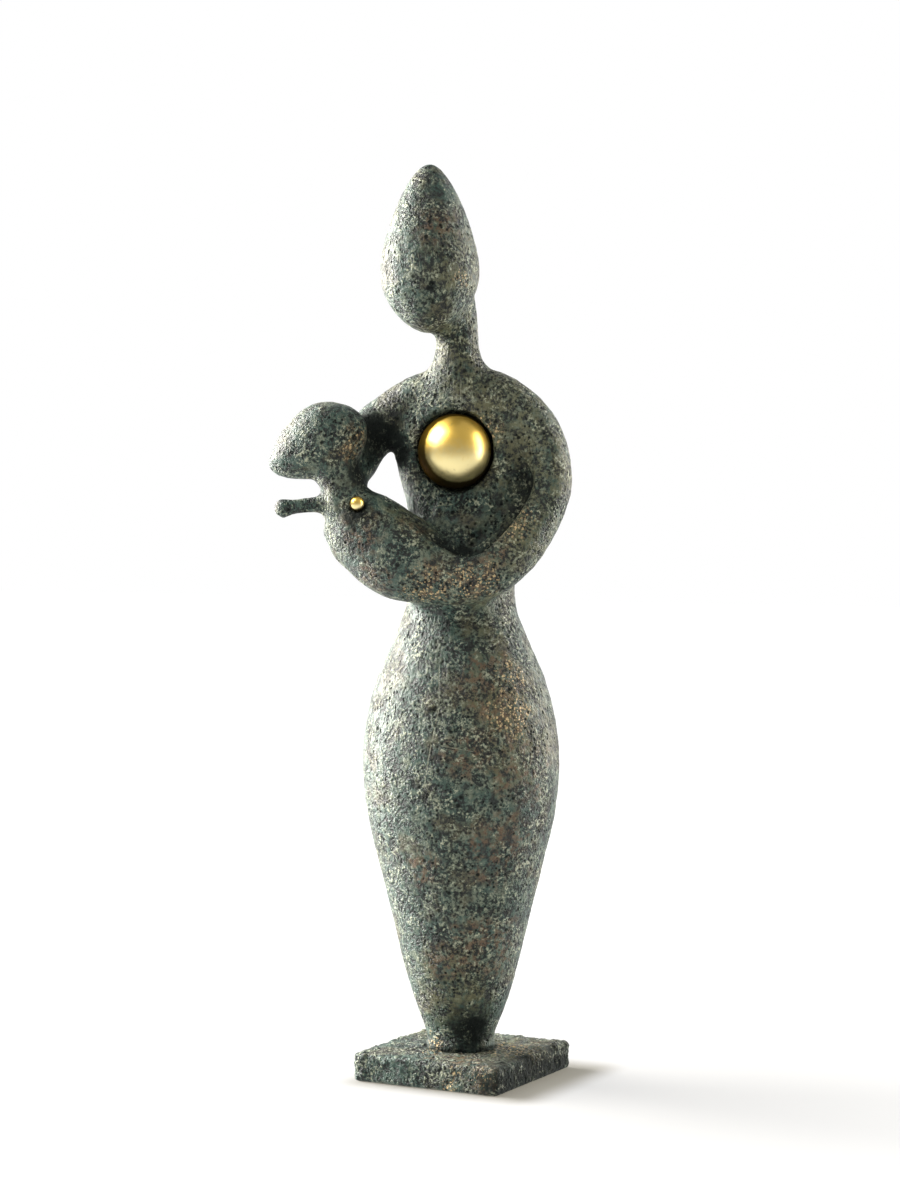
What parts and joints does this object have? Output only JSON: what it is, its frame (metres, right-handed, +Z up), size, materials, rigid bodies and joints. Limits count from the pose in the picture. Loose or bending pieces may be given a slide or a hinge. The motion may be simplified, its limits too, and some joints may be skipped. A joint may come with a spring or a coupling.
{
  "type": "bronze mother and child statuette",
  "caption": "Patinated cast bronze statuette of a standing mother holding a child, faceless egg-shaped heads, polished brass spheres set in both chests, on a square plate.",
  "frame": {"origin": "centre of the square plate's underside", "axes": "+Z up the figure, X and Y along the plate's sides, the mother facing -Y with her shoulders turned 12 degrees to her left"},
  "size_m": [0.0885, 0.0735, 0.3],
  "materials": {
    "patinated_bronze": "rough sand-cast bronze with a dark grey-green speckled patina and rubbed golden-brown spots",
    "polished_brass": "polished, slightly hammered"
  },
  "bodies": {
    "root": {"base_plate": "patinated_bronze", "figure": "patinated_bronze", "chest_ball": "polished_brass", "child_ball": "polished_brass"}
  },
  "joints": []
}
